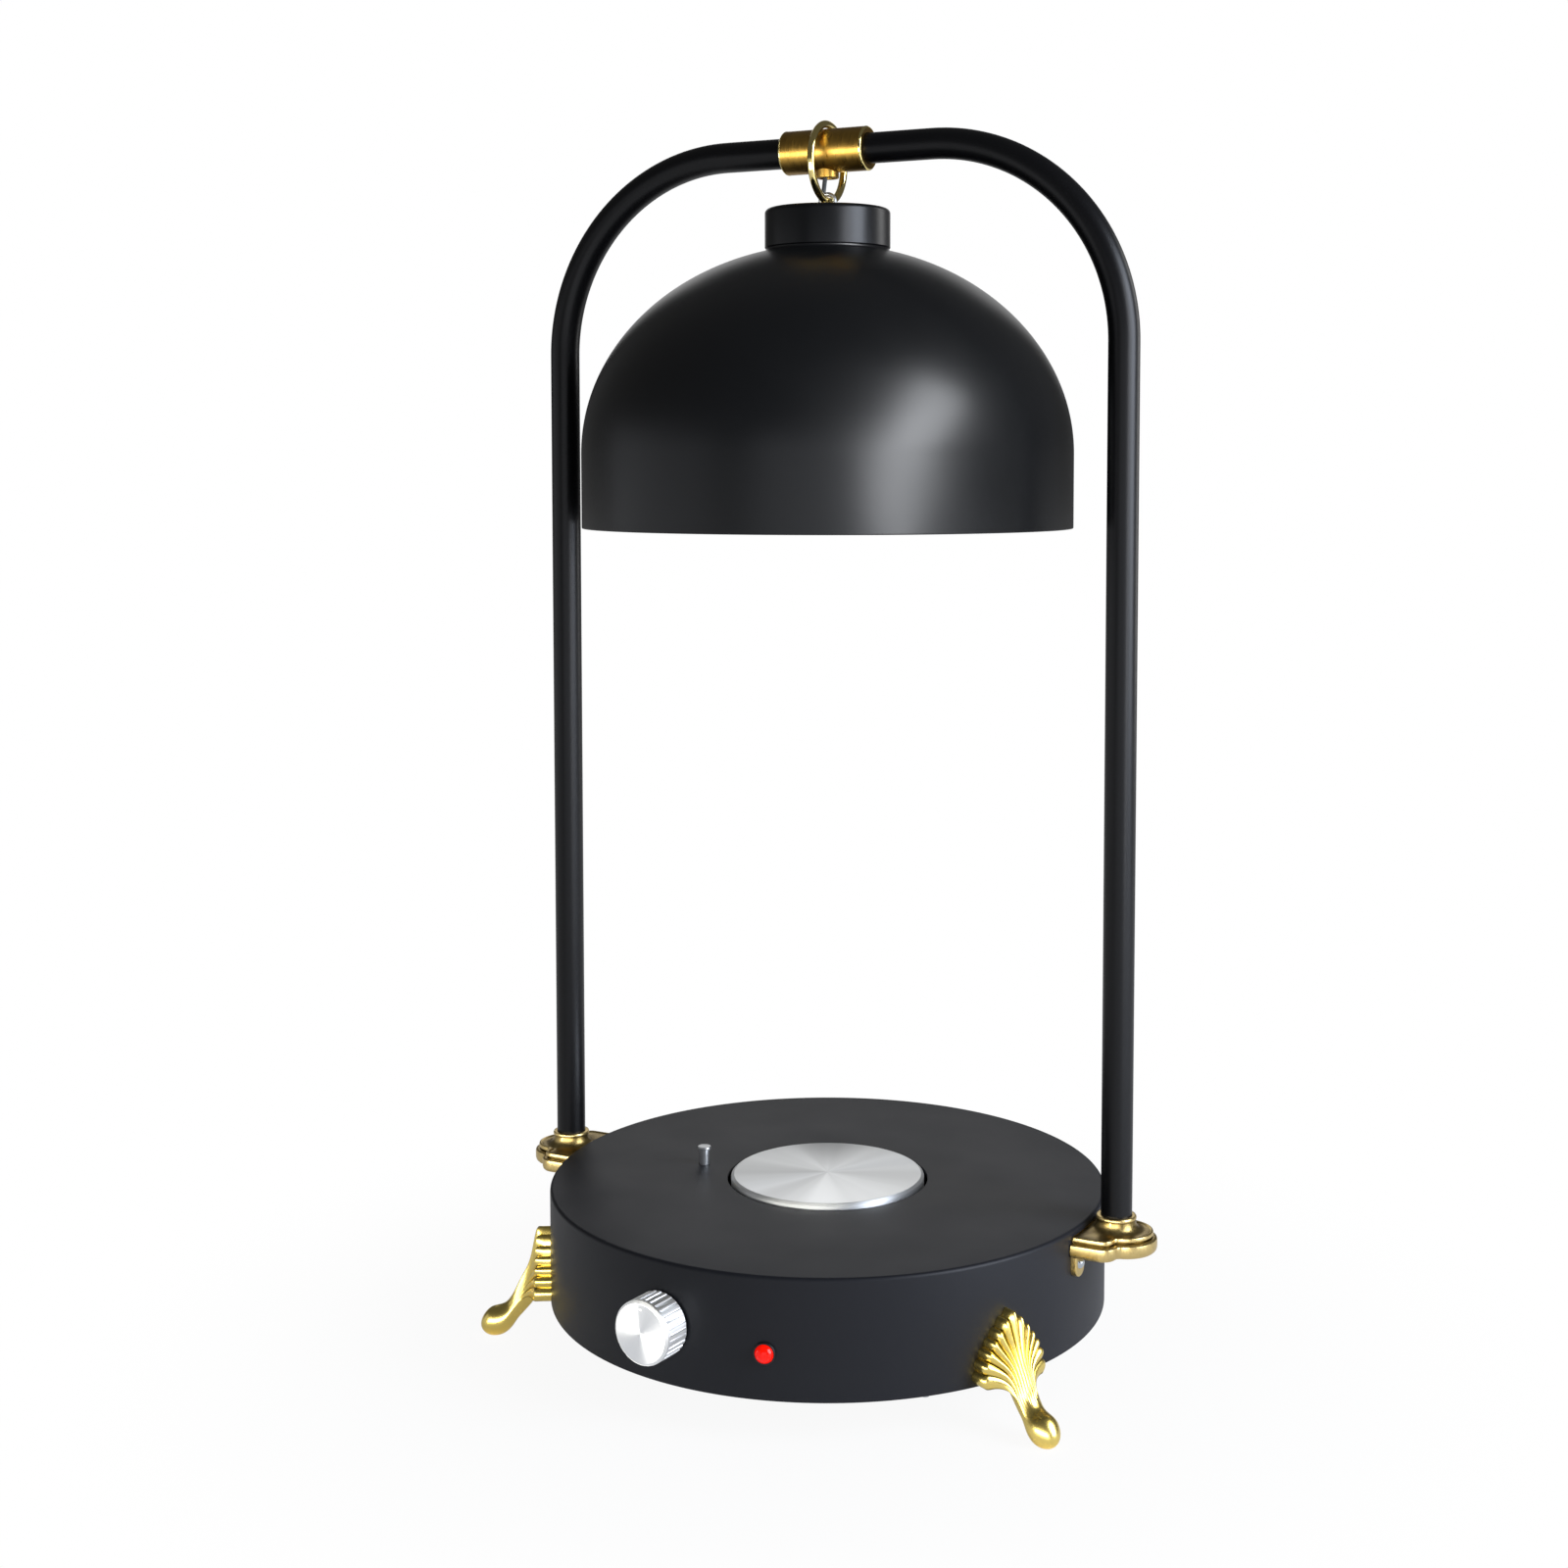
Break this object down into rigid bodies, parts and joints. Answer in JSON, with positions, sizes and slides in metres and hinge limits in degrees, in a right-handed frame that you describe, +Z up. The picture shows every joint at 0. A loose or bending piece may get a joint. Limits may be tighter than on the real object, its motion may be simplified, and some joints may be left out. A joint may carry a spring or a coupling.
{
  "type": "food heat lamp",
  "caption": "Buffet heat lamp: a drum base with a warming disc, knob and pilot light on palmette feet, and a tube hoop with a dome shade hanging from a ring.",
  "frame": {"origin": "on the table, under the axis of the drum and of the shade", "axes": "+Z up, the front with the knob faces -Y, the hoop stands in the XZ plane"},
  "size_m": [0.37, 0.3559, 0.6508],
  "materials": {
    "drum_paint": "fine satin black paint",
    "shade_paint": "smooth satin black paint",
    "tube_paint": "satin black paint",
    "zinc_screws": "bright zinc",
    "zinc_nuts": "bright zinc",
    "black_oxide": "black oxide",
    "spun_aluminium": "turned, with fine rings",
    "heater_metal": "heat-tinted sheet",
    "plated_strip": "zinc-plated strip",
    "white_ceramic": "unglazed white",
    "cutout_case": "moulded black",
    "bright_steel": "polished steel",
    "shaft_brass": "turned",
    "red_lens": "clear red lens",
    "black_plastic": "moulded black",
    "ivory_plastic": "moulded ivory",
    "gold_plate": "polished gold plate",
    "antique_brass": "brushed antique brass",
    "lead_sheath": "grey sheath",
    "frosted_glass": "frosted"
  },
  "bodies": {
    "frame": {"drum_shell": "drum_paint", "bottom_plate": "drum_paint", "plate_screws": "zinc_screws", "plate_weld_nuts": "zinc_nuts", "heat_disc": "spun_aluminium", "heating_element": "heater_metal", "heater_clamp": "plated_strip", "ceramic_spacers": "white_ceramic", "heater_screws": "zinc_screws", "heater_bridge": "plated_strip", "top_studs": "zinc_nuts", "stud_nuts": "zinc_nuts", "thermal_cutout": "cutout_case", "pin_spring": "bright_steel", "pin_switch": "cutout_case", "switch_bracket": "plated_strip", "dimmer_body": "plated_strip", "dimmer_nut": "zinc_nuts", "indicator_lens": "red_lens", "indicator_body": "black_plastic", "indicator_nut": "zinc_nuts", "cord_bush": "black_plastic", "terminal_block": "ivory_plastic", "terminal_screw": "zinc_screws", "foot_front_left": "gold_plate", "foot_front_right": "gold_plate", "foot_rear": "gold_plate", "foot_screws": "zinc_screws", "bracket_left": "antique_brass", "bracket_right": "antique_brass", "bracket_screws": "zinc_screws", "bracket_nuts": "zinc_nuts", "tube_left": "tube_paint", "tube_right": "tube_paint", "tube_grub_screws": "black_oxide", "tube_joiner": "plated_strip", "hoop_sleeve": "antique_brass", "outlet_cup": "antique_brass", "lamp_lead_inner": "lead_sheath"},
    "knob": {"control_knob": "spun_aluminium", "knob_shaft": "shaft_brass", "knob_grub_screw": "black_oxide"},
    "pin": {"push_pin": "bright_steel"},
    "ring": {"hanger_ring": "gold_plate", "lamp_lead_drop": "lead_sheath"},
    "shade": {"cap_eye": "bright_steel", "eye_nut": "zinc_nuts", "shade_cap": "shade_paint", "shade_dome": "shade_paint", "lamp_holder": "white_ceramic", "holder_screws": "zinc_screws", "bulb_glass": "frosted_glass", "bulb_base": "shaft_brass"}
  },
  "joints": [
    {"name": "knob_turn", "type": "hinge", "parent": "frame", "child": "knob", "pos_m": [-0.01828, -0.14888, 0.0525], "axis": [-0.1219, -0.9925, 0], "range_deg": [-150, 150]},
    {"name": "pin_press", "type": "slide", "parent": "frame", "child": "pin", "axis": [0, 0, -1], "range_m": [0, 0.003], "stiffness_N_per_m": 300, "springref_m": -0.003, "deforming": ["pin_spring"]},
    {"name": "ring_swing", "type": "hinge", "parent": "frame", "child": "ring", "pos_m": [0, 0, 0.635], "axis": [1, 0, 0], "range_deg": [-15, 15], "deforming": ["lamp_lead_drop"]},
    {"name": "shade_swing", "type": "hinge", "parent": "ring", "child": "shade", "pos_m": [0, 0, 0.6088], "axis": [0, 1, 0], "range_deg": [-8, 8]}
  ]
}
